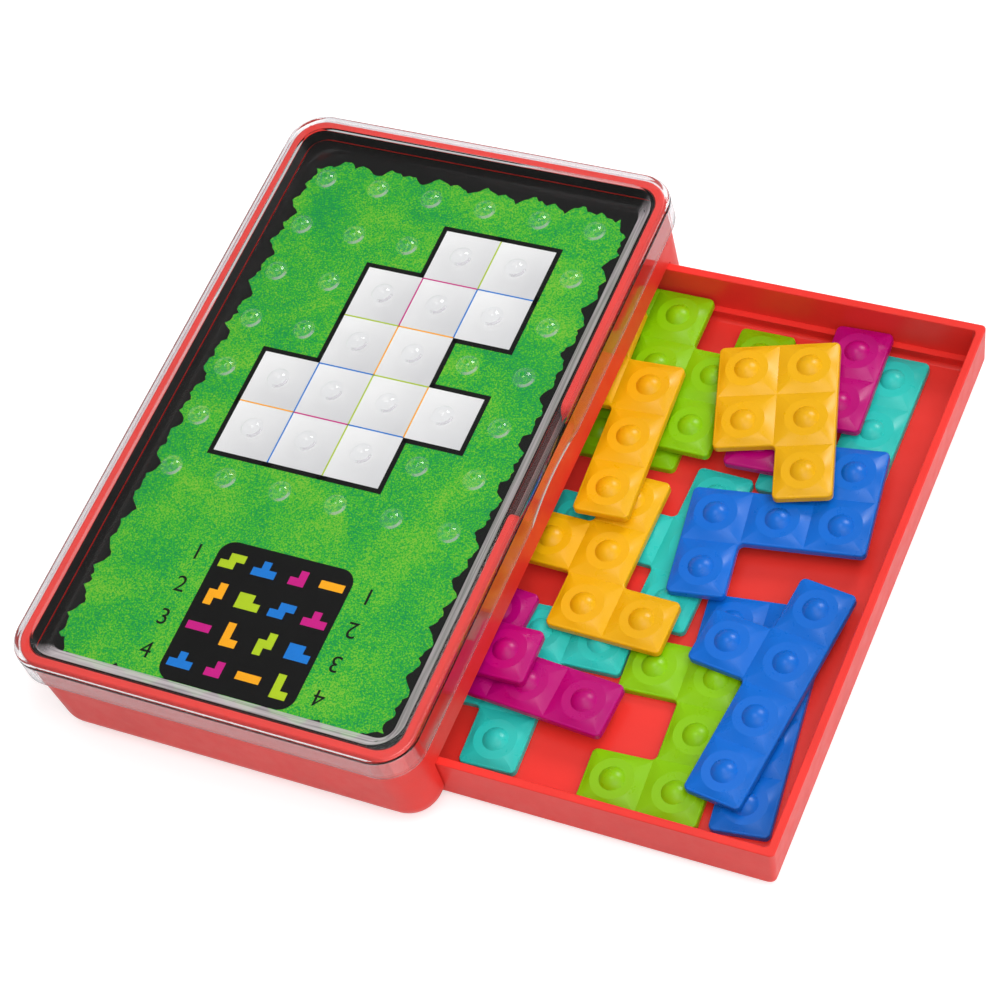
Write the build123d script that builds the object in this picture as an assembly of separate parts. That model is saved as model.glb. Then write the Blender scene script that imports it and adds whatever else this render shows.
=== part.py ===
from build123d import *
import math
import os

os.makedirs("parts", exist_ok=True)

# Sizes in millimetres. The origin is the centre of the case bottom, +X is
# the way the drawer opens, +Y runs along the case and +Z is up.

# Grid that the board bumps, the pieces and the cards share
PITCH = 15.0
BOARD_COLUMNS = 6
BOARD_ROWS = 7
BOARD_SHIFT_X = -1.5
BOARD_SHIFT_Y = 22.5

# Case
CASE_WIDTH = 103.2
CASE_LENGTH = 166.2
CASE_CORNER_R = 8.0
CASE_DRAFT = 2.0
CASE_FLOOR = 1.4
CASE_WALL = 2.2
CASE_FOOT_R = 7.8
RIM_WALL = 2.3
RIM_EDGE_R = 0.5
GUIDE_WALL = 2.0
THUMB_NOTCH_LENGTH = 29.0
THUMB_NOTCH_DEPTH = 5.0
THUMB_NOTCH_R = 2.5

# Drawer
DRAWER_HEIGHT = 14.55
DRAWER_FRONT_TAPER = 7.0
DRAWER_BACK_WALL = 1.5
DRAWER_RIM_WALL = 2.0
DRAWER_INNER_DRAFT = 1.0
DRAWER_FLOOR = 1.6
DRAWER_LEDGE_HEIGHT = 3.05
DRAWER_LEDGE_WIDTH = 1.6
DRAWER_CORNER_R = 1.2
DRAWER_FRONT_FOOT_R = 2.4
DRAWER_INNER_FOOT_R = 2.9
DRAWER_POCKET_R = 1.0
DRAWER_EDGE_R = 0.3
DRAWER_TRAVEL = 77.0
DRAWER_SIDE_GAP = 0.4
DRAWER_FLOOR_GAP = 0.25
DRAWER_TOP_GAP = 0.3
DRAWER_BACK_GAP = 0.5
DRAWER_FOOT_GAP = 0.3

# Deck and cards
DECK_THICKNESS = 1.5
DECK_GAP = 0.3
CARD_COUNT = 19
CARD_THICKNESS = 0.45
CARD_SPACING = 0.15
CARD_SIDE_GAP = 0.5
CARD_CORNER_R = 4.5

# Clear cover
COVER_WALL = 1.2
COVER_SIDE_GAP = 0.2
COVER_SEAT_GAP = 0.15
COVER_FLANGE = 1.5
COVER_PLATE = 1.35
COVER_STEP = 3.75
COVER_SLOPE_RUN = 3.8
COVER_PLUG_GAP = 0.3
COVER_SKIRT_DEPTH = 7.65
COVER_EDGE_R = 1.1
COVER_RECESS_R = 7.6
COVER_ARCH_LENGTH = 27.0
COVER_ARCH_RISE = 2.0
BUMP_R = 2.9
BUMP_HEIGHT = 1.5

# Loose pieces
CELL_GAP = 0.4
CELL_OUTER_R = 1.4
CELL_EDGE_HEIGHT = 1.8
CELL_EDGE_R = 0.5
CELL_RISE = 0.8
CELL_DISC_R = 5.2
DOME_R = 3.05
DOME_HEIGHT = 1.3
DIMPLE_R = 3.1
DIMPLE_DEPTH = 1.9
HEAP_GAP = 0.2
HEAP_FRONT_ROOM = 6.1
HEAP_SIDE_ROOM = 2.9

# Loose pieces: layer, place of the first cell in pitches from the middle of the
# drawer's back, turn in degrees, cells
PIECES = {
    "piece_teal_j": (0, 5.542, 3.933, 0.2, [(0, 0), (0, -1), (0, -2), (-1, -2)]),
    "piece_lime_g": (0, 3.267, 3.903, 0.5, [(0, 0), (0, -1), (1, -1)]),
    "piece_lime_q": (0, 2.220, 1.900, 1.6, [(0, 0), (-1, 0), (-1, 1), (-1, 2)]),
    "piece_teal_t": (0, 3.562, 1.139, -1.5, [(0, 0), (0, -1), (0, -2), (-1, -1), (-2, -1)]),
    "piece_teal_f": (0, 1.866, -3.893, 2.3, [(0, 0), (0, 1), (0, 2), (1, 2), (-1, 1)]),
    "piece_lime_u": (0, 4.771, -1.965, 2.8, [(0, 0), (-1, 0), (0, -1), (0, -2), (-1, -2)]),
    "piece_blue_l": (0, 5.955, -3.837, 6.3, [(0, 0), (0, 1), (0, 2), (0, 3), (-1, 3)]),
    "piece_lime_w": (1, 1.790, 4.140, -0.1, [(-1, 0), (0, 0), (0, -1), (1, -1), (1, -2)]),
    "piece_magenta_s": (1, 4.900, 4.150, 2.2, [(0, 0), (0, -1), (-1, -1), (-1, -2)]),
    "piece_blue_z": (1, 3.790, 0.690, 7.6, [(0, 0), (1, 0), (2, 0), (2, 1), (0, -1)]),
    "piece_orange_f": (1, 2.410, 0.580, -1.0, [(0, 0), (0, -1), (-1, -1), (0, -2), (1, -2)]),
    "piece_blue_y": (1, 5.910, -0.560, -6.8, [(0, 0), (0, -1), (0, -2), (0, -3), (-1, -1)]),
    "piece_magenta_l": (1, 3.050, -3.010, -4.1, [(0, 0), (-1, 0), (-2, 0), (-2, 1)]),
    "piece_orange_p": (2, 3.400, 3.230, 17.2, [(0, 0), (1, 0), (0, -1), (1, -1), (1, -2)]),
    "piece_orange_n": (2, 1.960, 2.540, 3.0, [(0, 0), (0, -1), (0, -2), (-1, 0), (-1, 1)]),
    "piece_magenta_i": (2, 1.630, -2.640, 1.0, [(0, 0), (-1, 0)]),
}

# Heights that follow from the sizes above
drawer_z = CASE_FLOOR + DRAWER_FLOOR_GAP
drawer_rim_z = drawer_z + DRAWER_HEIGHT
deck_z = drawer_rim_z + DRAWER_TOP_GAP
card_z = deck_z + DECK_THICKNESS + CARD_SPACING
card_step = CARD_THICKNESS + CARD_SPACING
plate_z = card_z + CARD_COUNT * card_step
play_z = plate_z + COVER_PLATE
cover_top_z = play_z + COVER_STEP
seat_z = cover_top_z - COVER_FLANGE
rim_z = seat_z - COVER_SEAT_GAP

# Widths and lengths that follow from the sizes above
bay_width = CASE_WIDTH - 2 * RIM_WALL
bay_length = CASE_LENGTH - 2 * RIM_WALL
bay_corner_r = CASE_CORNER_R - RIM_WALL
cover_inner_width = CASE_WIDTH + 2 * COVER_SIDE_GAP
cover_inner_length = CASE_LENGTH + 2 * COVER_SIDE_GAP
cover_width = cover_inner_width + 2 * COVER_WALL
cover_length = cover_inner_length + 2 * COVER_WALL
plug_width = bay_width - 2 * COVER_PLUG_GAP
plug_length = bay_length - 2 * COVER_PLUG_GAP
core_foot_r = CASE_FOOT_R - CASE_WALL


def heap_corners():
    """Corners of every cell of the loose pieces, from the middle of the drawer's back."""
    corners = []
    reach = PITCH / 2 - CELL_GAP
    for layer, x, y, turn, cells in PIECES.values():
        cosine = math.cos(math.radians(turn))
        sine = math.sin(math.radians(turn))
        for column, row in cells:
            for side_x, side_y in ((-reach, -reach), (reach, -reach), (reach, reach), (-reach, reach)):
                along = column * PITCH + side_x
                across = row * PITCH + side_y
                corner_x = x * PITCH + along * cosine - across * sine
                corner_y = y * PITCH + along * sine + across * cosine
                corners.append((corner_x, corner_y))
    return corners


# The drawer is as long and wide as the heap of pieces in it needs
drawer_length = max(x for x, y in heap_corners()) + HEAP_FRONT_ROOM
drawer_width = 2 * (max(abs(y) for x, y in heap_corners()) + HEAP_SIDE_ROOM)
slot_half = drawer_width / 2 + DRAWER_SIDE_GAP
core_back_x = -CASE_WIDTH / 2 + rim_z * math.tan(math.radians(CASE_DRAFT)) + CASE_WALL
drawer_back_x = core_back_x + DRAWER_BACK_GAP + DRAWER_TRAVEL


def draft_shrink(drop):
    return 2 * drop * math.tan(math.radians(CASE_DRAFT))


def rounded_block(width, length, radius, z_low, z_high):
    outline = RectangleRounded(width, length, radius)
    return Pos(0, 0, z_low) * extrude(outline, z_high - z_low)


def rounded_loft(low, high):
    sections = []
    for x_mid, y_mid, z, width, length, radius in (low, high):
        sections.append(Pos(x_mid, y_mid, z) * RectangleRounded(width, length, radius))
    return loft(sections)


def cap_radius(base_r, height):
    return (base_r**2 + height**2) / (2 * height)


def edges_at(solid, z):
    return [edge for edge in solid.edges() if abs(edge.bounding_box().min.Z - z) < 1e-4
            and abs(edge.bounding_box().max.Z - z) < 1e-4]


def make_case_body():
    foot_width = CASE_WIDTH - draft_shrink(rim_z)
    foot_length = CASE_LENGTH - draft_shrink(rim_z)
    body = rounded_loft(
        (0, 0, 0, foot_width, foot_length, CASE_CORNER_R),
        (0, 0, rim_z, CASE_WIDTH, CASE_LENGTH, CASE_CORNER_R),
    )
    body = fillet(edges_at(body, 0), CASE_FOOT_R)
    body = fillet(edges_at(body, rim_z), RIM_EDGE_R)
    body -= rounded_block(bay_width, bay_length, bay_corner_r, deck_z, rim_z + 1)

    # The core holds all hollows below the deck, so the walls keep their thickness
    core_width = foot_width - 2 * CASE_WALL
    core_length = foot_length - 2 * CASE_WALL
    core = rounded_block(core_width, core_length, CASE_CORNER_R - CASE_WALL, CASE_FLOOR, deck_z + 0.01)
    core = fillet(edges_at(core, CASE_FLOOR), core_foot_r)

    # Drawer bay, open at the +X side, and a hollow beside each guide wall
    tall = 3 * deck_z
    body -= core & Box(2 * CASE_WIDTH, 2 * slot_half, tall)
    mouth = Box(CASE_WIDTH, 2 * slot_half, deck_z - CASE_FLOOR, align=(Align.MIN, Align.CENTER, Align.MIN))
    body -= Pos(0, 0, CASE_FLOOR) * mouth
    side_low = slot_half + GUIDE_WALL
    for way in (-1, 1):
        body -= core & Pos(0, way * (side_low + CASE_LENGTH / 2), 0) * Box(2 * CASE_WIDTH, CASE_LENGTH, tall)

    # Thumb notch in the rim above the drawer, with rounded shoulders
    half = THUMB_NOTCH_LENGTH / 2
    shoulder = half + 2 * THUMB_NOTCH_R
    low_z = rim_z - THUMB_NOTCH_DEPTH
    right_side = [(half, low_z), (half, rim_z), (shoulder, rim_z), (shoulder, rim_z + 1)]
    left_side = [(-y, z) for y, z in reversed(right_side)]
    notch = make_face(Polyline(*[(0, y, z) for y, z in right_side + left_side], close=True))
    rounded = [vertex for vertex in notch.vertices() if abs(abs(vertex.Y) - half) < 1e-4]
    notch = fillet(rounded, THUMB_NOTCH_R)
    body -= Pos(CASE_WIDTH / 2, 0, 0) * extrude(notch, CASE_WALL + 4, dir=(1, 0, 0), both=True)
    return body


def make_card_deck():
    width = bay_width - 2 * DECK_GAP
    length = bay_length - 2 * DECK_GAP
    return rounded_block(width, length, bay_corner_r - DECK_GAP, deck_z, deck_z + DECK_THICKNESS)


def make_card(index):
    width = bay_width - 2 * CARD_SIDE_GAP
    length = bay_length - 2 * CARD_SIDE_GAP
    z = card_z + index * card_step
    return rounded_block(width, length, CARD_CORNER_R, z, z + CARD_THICKNESS)


def make_cover():
    skirt_z = cover_top_z - COVER_SKIRT_DEPTH
    corner_r = CASE_CORNER_R + COVER_SIDE_GAP + COVER_WALL
    cover = rounded_block(cover_width, cover_length, corner_r, skirt_z, cover_top_z)
    cover = fillet(edges_at(cover, cover_top_z), COVER_EDGE_R)
    cover -= rounded_block(cover_inner_width, cover_inner_length, corner_r - COVER_WALL, skirt_z - 1, seat_z)

    # A plug fills the mouth of the card bay, and the recess sinks into it
    cover += rounded_block(plug_width, plug_length, bay_corner_r - COVER_PLUG_GAP, plate_z, seat_z)
    play_width = plug_width - 2 * COVER_SLOPE_RUN
    play_length = plug_length - 2 * COVER_SLOPE_RUN
    cover -= rounded_loft(
        (0, 0, play_z, play_width, play_length, COVER_RECESS_R - COVER_SLOPE_RUN),
        (0, 0, cover_top_z, plug_width, plug_length, COVER_RECESS_R),
    )

    # One bump under each cell of the board
    ball_r = cap_radius(BUMP_R, BUMP_HEIGHT)
    ball = Pos(0, 0, BUMP_HEIGHT - ball_r) * Sphere(ball_r)
    bump = ball & Pos(0, 0, BUMP_HEIGHT / 2) * Box(4 * BUMP_R, 4 * BUMP_R, 2 * BUMP_HEIGHT)
    for column in range(BOARD_COLUMNS):
        for row in range(BOARD_ROWS):
            x = BOARD_SHIFT_X + (column - (BOARD_COLUMNS - 1) / 2) * PITCH
            y = BOARD_SHIFT_Y + (row - (BOARD_ROWS - 1) / 2) * PITCH
            cover += Pos(x, y, play_z) * bump

    # Finger arch in the skirt over the drawer
    arch_r = ((COVER_ARCH_LENGTH / 2) ** 2 + COVER_ARCH_RISE**2) / (2 * COVER_ARCH_RISE)
    arch = Rot(0, 90, 0) * Cylinder(arch_r, 6 * COVER_WALL)
    cover -= Pos(cover_width / 2, 0, skirt_z + COVER_ARCH_RISE - arch_r) * arch
    return cover


def make_trough(corners, width, edge_r):
    """Tray shape along Y: its ends are rounded all round but at the top."""
    wire = Polyline(*[(x, 0, z) for x, z, radius in corners], close=True)
    trough = extrude(make_face(wire), width / 2, dir=(0, 1, 0), both=True)
    for x, z, radius in corners:
        if radius:
            near = [edge for edge in trough.edges().filter_by(Axis.Y)
                    if abs(edge.center().X - x) < 1e-4 and abs(edge.center().Z - z) < 1e-4]
            trough = fillet(near, radius)
    top = max(z for x, z, radius in corners)
    rounded = []
    for edge in trough.edges():
        box = edge.bounding_box()
        if box.size.Y < 1e-4 and box.min.Z < top - 1e-4:
            rounded.append(edge)
    return fillet(rounded, edge_r)


def make_drawer():
    back_x = drawer_back_x
    front_x = back_x + drawer_length
    taper = math.tan(math.radians(DRAWER_FRONT_TAPER))
    drawer = make_trough(
        [
            (back_x, drawer_z, core_foot_r - DRAWER_FOOT_GAP),
            (front_x - DRAWER_HEIGHT * taper, drawer_z, DRAWER_FRONT_FOOT_R),
            (front_x, drawer_rim_z, 0),
            (back_x, drawer_rim_z, 0),
        ],
        drawer_width,
        DRAWER_CORNER_R,
    )

    # Floor pocket between the ledges of the long walls, then the wider pocket above
    floor_z = drawer_z + DRAWER_FLOOR
    ledge_z = floor_z + DRAWER_LEDGE_HEIGHT
    inner_back = back_x + DRAWER_BACK_WALL
    rim_front = front_x - DRAWER_RIM_WALL
    ledge_front = rim_front - (drawer_rim_z - ledge_z) * taper
    floor_front = rim_front - (drawer_rim_z - floor_z) * taper
    rim_width = drawer_width - 2 * DRAWER_RIM_WALL
    ledge_width = rim_width - 2 * DRAWER_INNER_DRAFT
    drawer -= make_trough(
        [
            (inner_back, floor_z, DRAWER_INNER_FOOT_R),
            (floor_front, floor_z, DRAWER_INNER_FOOT_R),
            (ledge_front, ledge_z, 0),
            (inner_back, ledge_z, 0),
        ],
        ledge_width - 2 * DRAWER_LEDGE_WIDTH,
        DRAWER_POCKET_R,
    )
    drawer -= rounded_loft(
        ((inner_back + ledge_front) / 2, 0, ledge_z, ledge_front - inner_back, ledge_width, DRAWER_POCKET_R),
        ((inner_back + rim_front) / 2, 0, drawer_rim_z, rim_front - inner_back, rim_width, DRAWER_POCKET_R),
    )
    return fillet(edges_at(drawer, drawer_rim_z), DRAWER_EDGE_R)


def cell_bounds(cell, cells, gap):
    column, row = cell
    half = PITCH / 2
    x_low = column * PITCH - half + (0 if (column - 1, row) in cells else gap)
    x_high = column * PITCH + half - (0 if (column + 1, row) in cells else gap)
    y_low = row * PITCH - half + (0 if (column, row - 1) in cells else gap)
    y_high = row * PITCH + half - (0 if (column, row + 1) in cells else gap)
    return x_low, x_high, y_low, y_high


def make_piece(cells):
    squares = Sketch() + [Pos(x * PITCH, y * PITCH) * Rectangle(PITCH, PITCH) for x, y in cells]
    outline = offset(squares.face(), amount=-CELL_GAP, kind=Kind.INTERSECTION)
    outline = fillet(outline.vertices(), CELL_OUTER_R)
    base = extrude(outline, CELL_EDGE_HEIGHT)
    base = fillet(edges_at(base, CELL_EDGE_HEIGHT), CELL_EDGE_R)

    # Each cell rises from its square edge to a flat disc
    crown_outline = offset(outline, amount=-CELL_EDGE_R, kind=Kind.ARC)
    limit = extrude(crown_outline, 2 * (CELL_EDGE_HEIGHT + CELL_RISE))
    for cell in cells:
        x_low, x_high, y_low, y_high = cell_bounds(cell, cells, CELL_GAP + CELL_EDGE_R)
        middle = Pos((x_low + x_high) / 2, (y_low + y_high) / 2, CELL_EDGE_HEIGHT)
        centre = Pos(cell[0] * PITCH, cell[1] * PITCH, CELL_EDGE_HEIGHT + CELL_RISE)
        crown = loft([middle * Rectangle(x_high - x_low, y_high - y_low), centre * Circle(CELL_DISC_R)])
        base += crown & limit

    dome_ball = cap_radius(DOME_R, DOME_HEIGHT)
    dimple_ball = cap_radius(DIMPLE_R, DIMPLE_DEPTH)
    dome_z = CELL_EDGE_HEIGHT + CELL_RISE
    for x, y in cells:
        ball = Pos(0, 0, DOME_HEIGHT - dome_ball) * Sphere(dome_ball)
        dome = ball & Pos(0, 0, DOME_HEIGHT / 2) * Box(4 * DOME_R, 4 * DOME_R, 2 * DOME_HEIGHT)
        base += Pos(x * PITCH, y * PITCH, dome_z) * dome
        base -= Pos(x * PITCH, y * PITCH, DIMPLE_DEPTH - dimple_ball) * Sphere(dimple_ball)
    return base


piece_height = CELL_EDGE_HEIGHT + CELL_RISE + DOME_HEIGHT
heap_z = drawer_z + DRAWER_FLOOR + HEAP_GAP

export_step(make_case_body(), "parts/case_body.step")
export_step(make_card_deck(), "parts/card_deck.step")
export_step(make_drawer(), "parts/drawer.step")
export_step(make_cover(), "parts/clear_cover.step")
export_step(make_card(CARD_COUNT - 1), "parts/top_card.step")
export_step(Compound(children=[make_card(i) for i in range(CARD_COUNT - 1)]), "parts/card_stack.step")

for name, (layer, x, y, turn, cells) in PIECES.items():
    z = heap_z + layer * (piece_height + HEAP_GAP)
    placed = Location((drawer_back_x + x * PITCH, y * PITCH, z), (0, 0, turn)) * make_piece(cells)
    export_step(placed, f"parts/{name}.step")
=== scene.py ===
import math
import random
import bmesh
import bpy
from mathutils import Matrix, Vector


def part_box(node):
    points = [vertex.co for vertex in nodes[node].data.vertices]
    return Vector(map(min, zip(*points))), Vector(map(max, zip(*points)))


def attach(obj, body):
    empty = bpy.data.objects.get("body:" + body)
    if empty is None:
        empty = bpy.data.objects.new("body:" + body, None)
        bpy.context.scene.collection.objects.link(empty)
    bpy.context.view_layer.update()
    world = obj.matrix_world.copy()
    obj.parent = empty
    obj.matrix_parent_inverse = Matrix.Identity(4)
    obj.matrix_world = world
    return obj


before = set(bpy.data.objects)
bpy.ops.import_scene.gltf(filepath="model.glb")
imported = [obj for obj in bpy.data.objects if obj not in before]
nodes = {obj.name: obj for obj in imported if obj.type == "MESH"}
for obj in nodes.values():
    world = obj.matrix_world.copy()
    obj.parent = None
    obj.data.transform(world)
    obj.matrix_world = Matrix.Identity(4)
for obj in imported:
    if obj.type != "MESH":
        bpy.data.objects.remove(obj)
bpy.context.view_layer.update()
MM = 0.001

# Grid of the board's cells: their pitch, and the centre of the first one
PITCH = 15 * MM
GRID_X = -39 * MM
GRID_Y = -22.5 * MM

# Half sizes of the cover's play plate, of its sunken part and of the rim below its skirt
PLAY_HALF = (43.5 * MM, 74 * MM)
BAY_HALF = (49.15 * MM, 80.65 * MM)
RIM_HALF = (51.4 * MM, 82.9 * MM)
COVER_TOP = 34.6 * MM

# How far a face's normal points up when the face is level, part of a rounded top, or upright
LEVEL = 0.985
ROUNDED_TOP = 0.6
UPRIGHT = 0.3
# The same for the slopes of the cover's recess, with the spread that still counts as one
SLOPE = 0.71
SLOPE_SPREAD = 0.06

MOULDED_IOR = 1.41
CLEAR_IOR = 1.49


# Nodes that the materials share
def srgb(red, green, blue):
    def linear(value):
        value /= 255
        return value / 12.92 if value <= 0.04045 else ((value + 0.055) / 1.055) ** 2.4
    return (linear(red), linear(green), linear(blue), 1)


def grey(value):
    return (value, value, value, 1)


def tint(colour, factor):
    return (*(min(1, channel * factor) for channel in colour[:3]), 1)


def two_tone(colour, spread=0.04):
    return [(0.3, tint(colour, 1 - spread)), (0.7, tint(colour, 1 + spread))]


def new_material(name):
    material = bpy.data.materials.new(name)
    material.use_nodes = True
    tree = material.node_tree
    return material, tree, tree.nodes["Principled BSDF"]


def noise(tree, scale, detail=3.0, rough=0.55, distortion=0.0):
    coords = tree.nodes.new("ShaderNodeTexCoord")
    texture = tree.nodes.new("ShaderNodeTexNoise")
    texture.inputs["Scale"].default_value = scale
    texture.inputs["Detail"].default_value = detail
    texture.inputs["Roughness"].default_value = rough
    texture.inputs["Distortion"].default_value = distortion
    tree.links.new(coords.outputs["Object"], texture.inputs["Vector"])
    return texture.outputs["Fac"]


def streaks(tree, scale, stretch):
    coords = tree.nodes.new("ShaderNodeTexCoord")
    mapping = tree.nodes.new("ShaderNodeMapping")
    mapping.inputs["Scale"].default_value = stretch
    texture = tree.nodes.new("ShaderNodeTexNoise")
    texture.inputs["Scale"].default_value = scale
    texture.inputs["Detail"].default_value = 3
    tree.links.new(coords.outputs["Object"], mapping.inputs["Vector"])
    tree.links.new(mapping.outputs["Vector"], texture.inputs["Vector"])
    return texture.outputs["Fac"]


def ramp(tree, value, stops):
    node = tree.nodes.new("ShaderNodeValToRGB")
    elements = node.color_ramp.elements
    while len(elements) < len(stops):
        elements.new(0.5)
    for element, (place, colour) in zip(elements, stops):
        element.position = place
        element.color = colour
    tree.links.new(value, node.inputs["Fac"])
    return node.outputs["Color"]


def grey_ramp(tree, value, low, high, start=0.3, end=0.7):
    return ramp(tree, value, [(start, grey(low)), (end, grey(high))])


def math_node(tree, operation, first, second=0):
    node = tree.nodes.new("ShaderNodeMath")
    node.operation = operation
    for socket, value in zip(node.inputs, (first, second)):
        if isinstance(value, (int, float)):
            socket.default_value = value
        else:
            tree.links.new(value, socket)
    return node.outputs["Value"]


def multiply(tree, *factors):
    product = factors[0]
    for factor in factors[1:]:
        product = math_node(tree, "MULTIPLY", product, factor)
    return product


def absolute(tree, value):
    return math_node(tree, "ABSOLUTE", value)


def object_place(tree):
    coords = tree.nodes.new("ShaderNodeTexCoord")
    parts = tree.nodes.new("ShaderNodeSeparateXYZ")
    tree.links.new(coords.outputs["Object"], parts.inputs["Vector"])
    return parts.outputs


def face_normal(tree):
    """Outputs of a geometry node, and the parts of the face's own normal."""
    geometry = tree.nodes.new("ShaderNodeNewGeometry")
    parts = tree.nodes.new("ShaderNodeSeparateXYZ")
    tree.links.new(geometry.outputs["True Normal"], parts.inputs["Vector"])
    return geometry.outputs, parts.outputs


def inside(tree, place, half):
    """1 where a point of the surface is within the half sizes from the middle."""
    tests = []
    for axis, limit in zip("XY", half):
        tests.append(math_node(tree, "LESS_THAN", absolute(tree, place[axis]), limit))
    return multiply(tree, *tests)


def bump(tree, shader, height, strength, distance):
    node = tree.nodes.new("ShaderNodeBump")
    node.inputs["Strength"].default_value = strength
    node.inputs["Distance"].default_value = distance
    tree.links.new(height, node.inputs["Height"])
    tree.links.new(node.outputs["Normal"], shader.inputs["Normal"])


def diffuse(tree, colour):
    node = tree.nodes.new("ShaderNodeBsdfDiffuse")
    node.inputs["Color"].default_value = colour
    return node.outputs["BSDF"]


def glossy(tree, roughness):
    node = tree.nodes.new("ShaderNodeBsdfGlossy")
    node.inputs["Roughness"].default_value = roughness
    return node


def mix_shaders(tree, share, first, second):
    node = tree.nodes.new("ShaderNodeMixShader")
    tree.links.new(share, node.inputs[0])
    tree.links.new(first, node.inputs[1])
    tree.links.new(second, node.inputs[2])
    return node.outputs["Shader"]


def by_ray(tree, lit, **rays):
    """A strength that is lit for most rays, and another for the rays that are named."""
    path = tree.nodes.new("ShaderNodeLightPath")
    strength = lit
    for ray, value in rays.items():
        spread = tree.nodes.new("ShaderNodeMix")
        tree.links.new(path.outputs[f"Is {ray.title()} Ray"], spread.inputs["Factor"])
        if isinstance(strength, float):
            spread.inputs["A"].default_value = strength
        else:
            tree.links.new(strength, spread.inputs["A"])
        spread.inputs["B"].default_value = value
        strength = spread.outputs["Result"]
    return strength


# Plastics
def moulded_plastic(name, colour, roughness, grain, grain_depth, spread=0.06):
    material, tree, shader = new_material(name)
    tone = ramp(tree, noise(tree, 45, 2), two_tone(colour, spread))
    tree.links.new(tone, shader.inputs["Base Color"])
    rub = grey_ramp(tree, noise(tree, 260, 4), roughness - 0.04, roughness + 0.05)
    tree.links.new(rub, shader.inputs["Roughness"])
    shader.inputs["IOR"].default_value = MOULDED_IOR
    bump(tree, shader, noise(tree, grain, 2), 0.25, grain_depth)
    return material


def cover_parts(tree):
    """Parts of the cover, each 1 there and 0 elsewhere, and how its surface lies."""
    geometry, normal = face_normal(tree)
    place = object_place(tree)
    tilt = absolute(tree, normal["Z"])
    play = inside(tree, place, PLAY_HALF)
    bay = inside(tree, place, BAY_HALF)
    below_top = math_node(tree, "LESS_THAN", place["Z"], COVER_TOP)
    wall = multiply(tree, math_node(tree, "SUBTRACT", bay, play), below_top)
    off_slope = absolute(tree, math_node(tree, "SUBTRACT", normal["Z"], SLOPE))
    return {
        "geometry": geometry,
        "normal": normal,
        "tilt": tilt,
        "facing": tree.nodes.new("ShaderNodeLayerWeight").outputs["Facing"],
        "rim": inside(tree, place, RIM_HALF),
        "play": play,
        "plate": multiply(tree, math_node(tree, "GREATER_THAN", tilt, LEVEL), play),
        "wall": wall,
        "side": multiply(tree, math_node(tree, "LESS_THAN", tilt, UPRIGHT), wall),
        "slope": multiply(tree, math_node(tree, "LESS_THAN", off_slope, SLOPE_SPREAD), wall),
    }


def cover_tones(tree, part):
    """The skirt is a little greyer than the thin middle, most at its top."""
    top = multiply(tree, math_node(tree, "GREATER_THAN", part["tilt"], ROUNDED_TOP), 0.5)
    tones = [(0, srgb(224, 223, 226)), (0.5, srgb(219, 219, 222)), (1, srgb(250, 251, 252))]
    return ramp(tree, math_node(tree, "MAXIMUM", part["rim"], top), tones)


def thin_wall(tree, part):
    """The plate and the recess's wall are plain to look through, and shine at a flat angle."""
    through = tree.nodes.new("ShaderNodeBsdfTransparent").outputs["BSDF"]
    stops = [(0.1, grey(0.02)), (0.6, grey(0.06)), (0.95, grey(0.6))]
    shine = ramp(tree, part["facing"], stops)
    return mix_shaders(tree, shine, through, glossy(tree, 0.08).outputs["BSDF"])


def side_mirror(tree, part):
    """Seen from inside, the upright sides of the recess mirror the card."""
    mirror = glossy(tree, 0.03)
    tree.links.new(part["geometry"]["True Normal"], mirror.inputs["Normal"])
    return mirror.outputs["BSDF"]


def satin_share(tree, part):
    """The recess's slopes get painted whitish light with drawn streaks, seen most at a flat
    angle: it stands in for light that comes up inside the clear plastic.
    """
    flat_view = grey_ramp(tree, part["facing"], 0.0, 0.92, 0.35, 0.7)
    along_y = math_node(tree, "GREATER_THAN", absolute(tree, part["normal"]["X"]), 0.5)
    drawn = tree.nodes.new("ShaderNodeMix")
    tree.links.new(along_y, drawn.inputs["Factor"])
    tree.links.new(streaks(tree, 900, (0.05, 1, 1)), drawn.inputs["A"])
    tree.links.new(streaks(tree, 900, (1, 0.05, 1)), drawn.inputs["B"])
    streak = grey_ramp(tree, drawn.outputs["Result"], 0.55, 1, 0.38, 0.6)
    return multiply(tree, part["slope"], flat_view, streak)


def crescent_share(tree, part):
    """Painted highlight on the foot of a bump, where it turns to the eye: a pale crescent that
    stands in for the light the bump gathers.
    """
    steep_foot = grey_ramp(tree, part["tilt"], 0.6, 0.0, 0.62, 0.76)
    to_eye = grey_ramp(tree, part["facing"], 1.0, 0.0, 0.06, 0.22)
    return multiply(tree, steep_foot, to_eye, part["play"])


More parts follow.
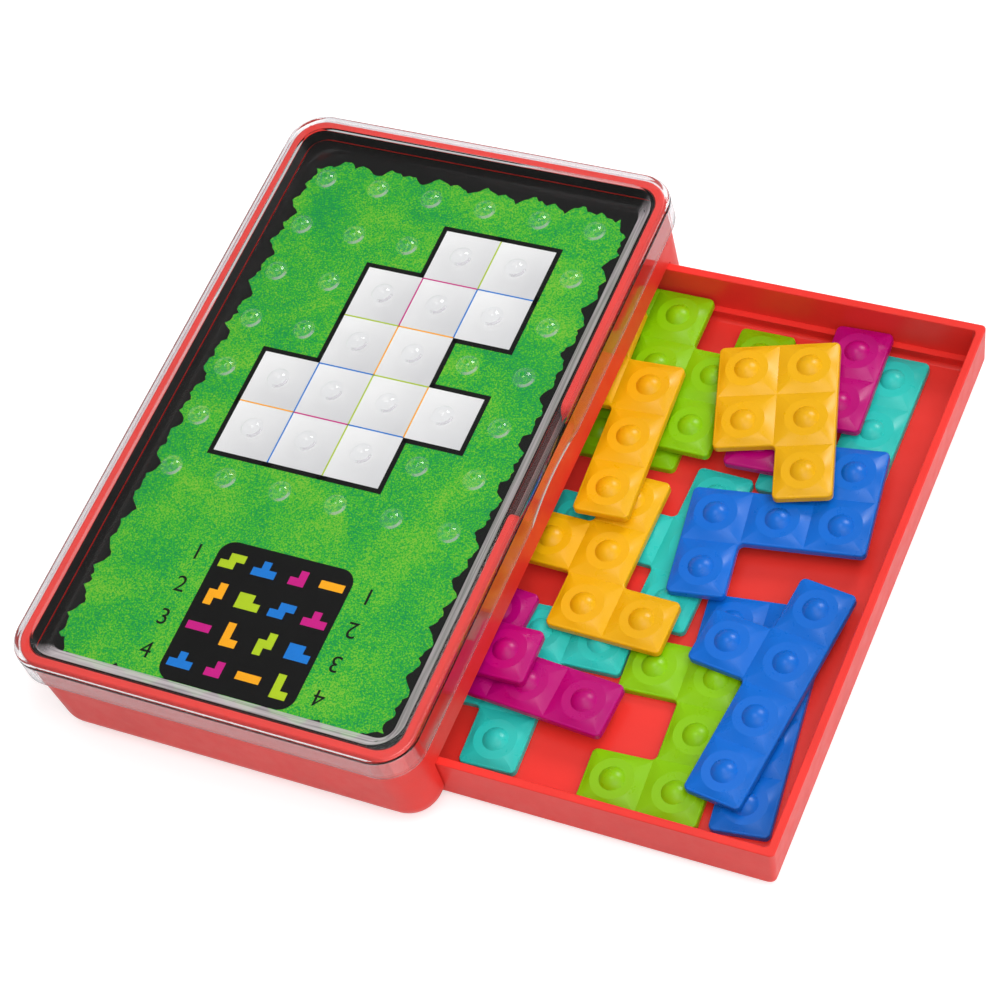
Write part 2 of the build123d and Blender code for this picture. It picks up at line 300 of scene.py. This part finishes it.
def clear_plastic(name):
    material, tree, shader = new_material(name)
    part = cover_parts(tree)
    shader.inputs["IOR"].default_value = CLEAR_IOR
    shader.inputs["Transmission Weight"].default_value = 1
    tree.links.new(cover_tones(tree, part), shader.inputs["Base Color"])
    haze = grey_ramp(tree, noise(tree, 180, 3), 0.01, 0.04)
    tree.links.new(haze, shader.inputs["Roughness"])
    bump(tree, shader, noise(tree, 30, 1), 0.12, 0.2 * MM)

    plain = math_node(tree, "MAXIMUM", part["wall"], part["plate"])
    surface = mix_shaders(tree, plain, shader.outputs["BSDF"], thin_wall(tree, part))
    from_inside = multiply(tree, part["side"], part["geometry"]["Backfacing"])
    surface = mix_shaders(tree, from_inside, surface, side_mirror(tree, part))
    # Painted light: a whitish diffuse layer with streaks on the recess's slopes
    painted_slope_light = diffuse(tree, srgb(216, 205, 210))
    surface = mix_shaders(tree, satin_share(tree, part), surface, painted_slope_light)

    # Painted light: the bumps are a little paler than the plate, for the light that they focus
    dome = math_node(tree, "SUBTRACT", part["play"], part["plate"])
    white = diffuse(tree, srgb(250, 250, 250))
    surface = mix_shaders(tree, multiply(tree, dome, 0.03), surface, white)
    # Painted highlight: a pale crescent on the foot of each bump
    painted_crescent = diffuse(tree, srgb(194, 189, 196))
    surface = mix_shaders(tree, crescent_share(tree, part), surface, painted_crescent)

    # Light that falls on what lies below passes straight through
    path = tree.nodes.new("ShaderNodeLightPath").outputs
    passing = math_node(tree, "MAXIMUM", path["Is Shadow Ray"], path["Is Diffuse Ray"])
    clear = tree.nodes.new("ShaderNodeBsdfTransparent")
    shade = grey_ramp(tree, part["facing"], 0.99, 0.4, 0.55, 0.95)
    tree.links.new(shade, clear.inputs["Color"])
    surface = mix_shaders(tree, passing, surface, clear.outputs["BSDF"])
    tree.links.new(surface, tree.nodes["Material Output"].inputs["Surface"])
    return material


# Card and print
def paper_sheen(tree, shader, low=0.4, high=0.5):
    tree.links.new(grey_ramp(tree, noise(tree, 300, 3), low, high), shader.inputs["Roughness"])
    shader.inputs["Specular IOR Level"].default_value = 0.25


def printed(name, stops, scale):
    material, tree, shader = new_material(name)
    tone = ramp(tree, noise(tree, scale, 4, 0.65), stops)
    tree.links.new(tone, shader.inputs["Base Color"])
    paper_sheen(tree, shader, 0.37, 0.47)
    bump(tree, shader, noise(tree, 2500, 2), 0.15, 0.03 * MM)
    return material


def mottled(name, stops, patch_scale, speck_scale):
    """Print of broad patches under a fine, strong speckle."""
    material, tree, shader = new_material(name)
    patch = multiply(tree, noise(tree, patch_scale, 4, 0.6, 0.4), 0.5)
    speck = multiply(tree, noise(tree, speck_scale, 2, 0.8), 1.05)
    total = math_node(tree, "SUBTRACT", math_node(tree, "ADD", patch, speck), 0.275)
    tree.links.new(ramp(tree, total, stops), shader.inputs["Base Color"])
    paper_sheen(tree, shader)
    return material


def card_stock(name, face, edge):
    """Card: printed dark on its faces, paper at its edges."""
    material, tree, shader = new_material(name)
    normal = face_normal(tree)[1]
    flat = math_node(tree, "GREATER_THAN", absolute(tree, normal["Z"]), 0.9)
    # A mix of colours takes them at its sockets 6 and 7 and gives them at 2
    mix = tree.nodes.new("ShaderNodeMix")
    mix.data_type = "RGBA"
    tree.links.new(flat, mix.inputs["Factor"])
    tree.links.new(ramp(tree, noise(tree, 400, 4), two_tone(edge, 0.1)), mix.inputs[6])
    tree.links.new(ramp(tree, noise(tree, 60, 4), two_tone(face, 0.15)), mix.inputs[7])
    tree.links.new(mix.outputs[2], shader.inputs["Base Color"])
    paper_sheen(tree, shader, 0.38, 0.48)
    return material


def cell_gradient(name, light, dark):
    """The task's white cells: each is lighter at one corner and darker at the opposite one."""
    material, tree, shader = new_material(name)
    place = object_place(tree)
    shares = []
    for axis, start, way in (("X", GRID_X, 1), ("Y", GRID_Y, -1)):
        pitches = multiply(tree, place[axis], way / PITCH)
        # Whole pitches keep the sum above zero, and half a pitch puts its step on a cell's edge
        from_edge = math_node(tree, "ADD", pitches, 10.5 - way * start / PITCH)
        shares.append(math_node(tree, "FRACT", from_edge))
    share = multiply(tree, math_node(tree, "ADD", *shares), 0.5)
    cloud = multiply(tree, noise(tree, 60, 3), 0.35)
    total = math_node(tree, "ADD", multiply(tree, share, 0.65), cloud)
    tree.links.new(ramp(tree, total, [(0.25, light), (0.75, dark)]), shader.inputs["Base Color"])
    paper_sheen(tree, shader)
    return material


PIECE_COLOURS = {
    "lime": srgb(134, 194, 4),
    "orange": srgb(229, 171, 8),
    "magenta": srgb(178, 0, 112),
    "teal": srgb(42, 194, 184),
    "blue": srgb(10, 104, 204),
}
GRASS = [
    (0.36, srgb(8, 142, 74)),
    (0.44, srgb(28, 164, 54)),
    (0.5, srgb(50, 178, 42)),
    (0.57, srgb(86, 186, 40)),
    (0.66, srgb(126, 190, 56)),
]

red_plastic = moulded_plastic("red_plastic", srgb(232, 52, 44), 0.36, 900, 0.06 * MM)
dark_plastic = moulded_plastic("dark_plastic", srgb(38, 38, 38), 0.55, 900, 0.08 * MM)
cover_plastic = clear_plastic("clear_plastic")
card = card_stock("card", srgb(18, 18, 18), srgb(150, 144, 140))
piece_plastic = {
    key: moulded_plastic(key + "_plastic", colour, 0.3, 1400, 0.03 * MM, 0.04)
    for key, colour in PIECE_COLOURS.items()
}
grass = mottled("ink_green", GRASS, 60, 2300)
white_ink = cell_gradient("ink_white", srgb(241, 241, 241), srgb(210, 210, 212))
black_ink = printed("ink_black", two_tone(srgb(10, 10, 10), 0.2), 60)
bright_ink = {
    "lime": printed("ink_lime", two_tone(srgb(176, 205, 30)), 200),
    "orange": printed("ink_orange", two_tone(srgb(250, 170, 20)), 200),
    "magenta": printed("ink_magenta", two_tone(srgb(200, 20, 130)), 200),
    "blue": printed("ink_blue", two_tone(srgb(20, 120, 210)), 200),
}


def dress(node, material):
    slots = nodes[node].data.materials
    slots.clear()
    slots.append(material)


dress("case_body", red_plastic)
dress("drawer", red_plastic)
dress("card_deck", dark_plastic)
dress("clear_cover", cover_plastic)
dress("top_card", card)
dress("card_stack", card)
for node in nodes:
    if node.startswith("piece_"):
        dress(node, piece_plastic[node.split("_")[1]])


# Printed side of the cards: thin layers of ink that ride on them
INK_Z = {body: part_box(body)[1].z for body in ("top_card", "card_stack")}
INK_STEP = 0.02 * MM


def add_object(name, data):
    obj = bpy.data.objects.new(name, data)
    bpy.context.scene.collection.objects.link(obj)
    return obj


def ink(name, loops, layer, material, body="top_card"):
    mesh = bpy.data.meshes.new(name)
    shape = bmesh.new()
    z = INK_Z[body] + layer * INK_STEP
    for loop in loops:
        shape.faces.new([shape.verts.new((x, y, z)) for x, y in loop])
    bmesh.ops.recalc_face_normals(shape, faces=shape.faces)
    for face in shape.faces:
        if face.normal.z < 0:
            face.normal_flip()
    shape.to_mesh(mesh)
    shape.free()
    mesh.materials.append(material)
    obj = add_object(name, mesh)
    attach(obj, body)


def rectangle(x_low, y_low, x_high, y_high):
    return [(x_low, y_low), (x_high, y_low), (x_high, y_high), (x_low, y_high)]


def rounded(x_low, y_low, x_high, y_high, radius, steps=8):
    left, right = x_low + radius, x_high - radius
    front, back = y_low + radius, y_high - radius
    corners = ((right, front, -90), (right, back, 0), (left, back, 90), (left, front, 180))
    loop = []
    for x, y, start in corners:
        for step in range(steps + 1):
            angle = math.radians(start + 90 * step / steps)
            loop.append((x + radius * math.cos(angle), y + radius * math.sin(angle)))
    return loop


# Ragged edge of the green ground, in millimetres
CORNER_CUT = 3.5
EDGE_STEP = 0.9
EDGE_SCATTER = 0.3
EDGE_WAVES = ((0.8, 13), (0.7, 6.6), (0.3, 2.7))


def ragged(x_low, y_low, x_high, y_high, seed):
    """A box with cut corners whose edge wanders in and out."""
    chance = random.Random(seed)
    cut = CORNER_CUT * MM
    corners = [(x_low + cut, y_low), (x_high - cut, y_low),
               (x_high, y_low + cut), (x_high, y_high - cut),
               (x_high - cut, y_high), (x_low + cut, y_high),
               (x_low, y_high - cut), (x_low, y_low + cut)]
    waves = [(amount * MM, length * MM, chance.uniform(0, 6)) for amount, length in EDGE_WAVES]
    loop = []
    for (x, y), (x_next, y_next) in zip(corners, corners[1:] + corners[:1]):
        length = math.hypot(x_next - x, y_next - y)
        count = int(length / (EDGE_STEP * MM))
        along_x, along_y = (x_next - x) / length, (y_next - y) / length
        for step in range(count):
            way = length * step / count
            out = chance.uniform(-EDGE_SCATTER, EDGE_SCATTER) * MM
            for amount, wave, start in waves:
                out += amount * math.sin(start + 2 * math.pi * way / wave)
            loop.append((x + along_x * way + along_y * out, y + along_y * way - along_x * out))
    return loop


def cell_centre(column, row):
    return GRID_X + column * PITCH, GRID_Y + row * PITCH


def cell_box(column, row, margin):
    x, y = cell_centre(column, row)
    half = PITCH / 2 + margin
    return rectangle(x - half, y - half, x + half, y + half)


# Task to be covered, on the grid of the bumps: columns and rows of its cells
TASK = [(3, 5), (4, 5), (2, 4), (3, 4), (4, 4), (2, 3), (3, 3),
        (1, 2), (2, 2), (3, 2), (4, 2), (1, 1), (2, 1), (3, 1)]
GROUND = (-44.4 * MM, -77 * MM, 42.8 * MM, 73.6 * MM)
BORDER = 1.3 * MM
HALF_LINE = 0.19 * MM

ink("print_ground", [ragged(*GROUND, 5)], 1, grass)
ink("print_task_border", [cell_box(*cell, BORDER) for cell in TASK], 2, black_ink)
ink("print_task_cells", [cell_box(*cell, 0) for cell in TASK], 3, white_ink)

# Coloured lines between the task's cells
ink_names = list(bright_ink)
lines = {name: [] for name in ink_names}
for index, (column, row) in enumerate(TASK):
    x, y = cell_centre(column, row)
    if (column + 1, row) in TASK:
        edge = x + PITCH / 2
        strip = rectangle(edge - HALF_LINE, y - PITCH / 2, edge + HALF_LINE, y + PITCH / 2)
        lines[ink_names[index % len(ink_names)]].append(strip)
    if (column, row - 1) in TASK:
        edge = y - PITCH / 2
        strip = rectangle(x - PITCH / 2, edge - HALF_LINE, x + PITCH / 2, edge + HALF_LINE)
        lines[ink_names[(index + 2) % len(ink_names)]].append(strip)
for name, strips in lines.items():
    ink("print_lines_" + name, strips, 4, bright_ink[name])

# The next card, which shows when the top one is lifted
NEXT_TASK = [(1, 5), (2, 5), (3, 5), (2, 4), (3, 4), (4, 4),
             (2, 3), (3, 3), (1, 2), (2, 2), (3, 2), (2, 1)]
next_border = [cell_box(*cell, BORDER) for cell in NEXT_TASK]
next_cells = [cell_box(*cell, -0.15 * MM) for cell in NEXT_TASK]
ink("print_next_ground", [ragged(*GROUND, 9)], 1, grass, "card_stack")
ink("print_next_border", next_border, 2, black_ink, "card_stack")
ink("print_next_cells", next_cells, 3, white_ink, "card_stack")

# Key panel: a small picture of each piece for each numbered task, as cells of the picture
PANEL = (-17 * MM, -76 * MM, 19 * MM, -37.5 * MM)
PANEL_RADIUS = 4 * MM
KEY_ROWS = 4
KEY_COLUMNS = 4
KEY_INSET_X, KEY_INSET_Y = 4.6 * MM, 5.2 * MM
KEY_STEP_X, KEY_STEP_Y = 8.9 * MM, 9.2 * MM
ICON_CELL = 2.1 * MM
ICONS = [
    [(0, 0), (1, 0), (1, 1), (2, 1)],
    [(0, 0), (0, 1), (0, 2), (1, 0)],
    [(0, 0), (1, 0), (2, 0), (1, 1)],
    [(0, 0), (0, 1), (1, 1), (1, 2)],
    [(0, 0), (1, 0), (1, 1)],
    [(0, 0), (1, 0), (0, 1), (1, 1), (2, 0)],
    [(0, 0), (1, 0), (2, 0)],
]
NUMBER_SIZE = 6.2 * MM
NUMBER_GAP = 5 * MM


def key_row(row):
    return PANEL[3] - KEY_INSET_Y - KEY_STEP_Y * row


def icon(cells, x_mid, y_mid):
    width = max(x for x, _ in cells) + 1
    height = max(y for _, y in cells) + 1
    squares = []
    for x, y in cells:
        x_low = x_mid + (x - width / 2) * ICON_CELL
        y_low = y_mid + (y - height / 2) * ICON_CELL
        squares.append(rectangle(x_low, y_low, x_low + ICON_CELL, y_low + ICON_CELL))
    return squares


def number(value, x, y, turn):
    curve = bpy.data.curves.new(f"number_{value}_{turn}", "FONT")
    curve.body = str(value)
    curve.size = NUMBER_SIZE
    curve.align_x = "CENTER"
    curve.align_y = "CENTER"
    source = add_object(curve.name, curve)
    graph = bpy.context.evaluated_depsgraph_get()
    mesh = bpy.data.meshes.new_from_object(source.evaluated_get(graph))
    bpy.data.objects.remove(source)
    place = Matrix.Translation((x, y, INK_Z["top_card"] + 2 * INK_STEP))
    mesh.transform(place @ Matrix.Rotation(math.radians(turn), 4, "Z"))
    mesh.materials.clear()
    mesh.materials.append(black_ink)
    obj = add_object(f"print_number_{value}_{turn}", mesh)
    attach(obj, "top_card")


ink("print_key_panel", [rounded(*PANEL, PANEL_RADIUS)], 2, black_ink)
icon_loops = {name: [] for name in ink_names}
for row in range(KEY_ROWS):
    for column in range(KEY_COLUMNS):
        x_mid = PANEL[0] + KEY_INSET_X + KEY_STEP_X * column
        cells = ICONS[(3 * row + 2 * column) % len(ICONS)]
        name = ink_names[(row + column * 3) % len(ink_names)]
        icon_loops[name] += icon(cells, x_mid, key_row(row))
for name, loops in icon_loops.items():
    ink("print_icons_" + name, loops, 3, bright_ink[name])
for row in range(KEY_ROWS):
    number(row + 1, PANEL[0] - NUMBER_GAP, key_row(row), 0)
    number(row + 1, PANEL[2] + NUMBER_GAP, key_row(row), 180)


# Floor, world and lamps, in metres
FLOOR_HALF = 6
FLOOR_GLOW = 0.42
SKY_LIGHT = 0.34
SKY_IN_GLOSS = 0.13
SKY_THROUGH_COVER = 0.7
SKY_SEEN = 1.0
LOOK_AT = (0.04, 0, 0.01)


def backdrop():
    """A plain floor that is white to the camera and keeps the object's shadow."""
    half = FLOOR_HALF
    corners = [(x, y, 0) for x, y in rectangle(-half, -half, half, half)]
    mesh = bpy.data.meshes.new("floor")
    mesh.from_pydata(corners, [], [(0, 1, 2, 3)])
    floor = add_object("floor", mesh)
    material = bpy.data.materials.new("floor")
    material.use_nodes = True
    tree = material.node_tree
    tree.nodes.clear()
    output = tree.nodes.new("ShaderNodeOutputMaterial")
    glow = tree.nodes.new("ShaderNodeEmission")
    add = tree.nodes.new("ShaderNodeAddShader")
    strength = by_ray(tree, 0.0, camera=FLOOR_GLOW, transmission=FLOOR_GLOW)
    tree.links.new(strength, glow.inputs["Strength"])
    tree.links.new(diffuse(tree, grey(0.8)), add.inputs[0])
    tree.links.new(glow.outputs["Emission"], add.inputs[1])
    tree.links.new(add.outputs["Shader"], output.inputs["Surface"])
    mesh.materials.append(material)


def lamp(name, place, size, energy, mirrored=True, shadow=True, lights=True):
    data = bpy.data.lights.new(name, "AREA")
    data.size = size
    data.energy = energy
    data.use_shadow = shadow
    obj = add_object(name, data)
    obj.location = place
    way = Vector(LOOK_AT) - Vector(place)
    obj.rotation_euler = way.to_track_quat("-Z", "Y").to_euler()
    obj.visible_glossy = mirrored
    obj.visible_diffuse = lights
    obj.visible_transmission = False


backdrop()
world = bpy.data.worlds.new("studio")
world.use_nodes = True
bpy.context.scene.world = world
sky = world.node_tree.nodes["Background"]
sky.inputs["Color"].default_value = grey(1)
strength = by_ray(world.node_tree, SKY_LIGHT, glossy=SKY_IN_GLOSS,
                  transmission=SKY_THROUGH_COVER, camera=SKY_SEEN)
world.node_tree.links.new(strength, sky.inputs["Strength"])
lamp("key", (0.95, -0.3, 1.05), size=1.5, energy=11.5, mirrored=False)
lamp("top", (0.25, -0.35, 1.5), size=1.0, energy=4, mirrored=False)
lamp("fill", (0.6, -0.25, 1.5), size=1.0, energy=5.5, mirrored=False, shadow=False)
lamp("back", (0.35, 0.95, 0.85), size=0.4, energy=5)
lamp("sheen", (-0.1, 0.25, 1.3), size=0.4, energy=1.7, lights=False)

# Camera at the photograph's place, turned by its three directions
EYE = Vector((0.31509, -0.31221, 0.58308))
RIGHT = Vector((0.89355, 0.38735, -0.22701))
UP = Vector((-0.21255, 0.81033, 0.54606))
AHEAD = Vector((-0.39547, 0.43968, -0.80640))

data = bpy.data.cameras.new("camera")
data.lens = 106.92
data.sensor_width = 36
data.clip_start = 0.01
data.clip_end = 50
camera = add_object("camera", data)
turn = Matrix((RIGHT, UP, -AHEAD)).transposed().to_4x4()
camera.matrix_world = Matrix.Translation(EYE) @ turn
bpy.context.scene.camera = camera
bpy.context.scene.view_settings.view_transform = "Standard"
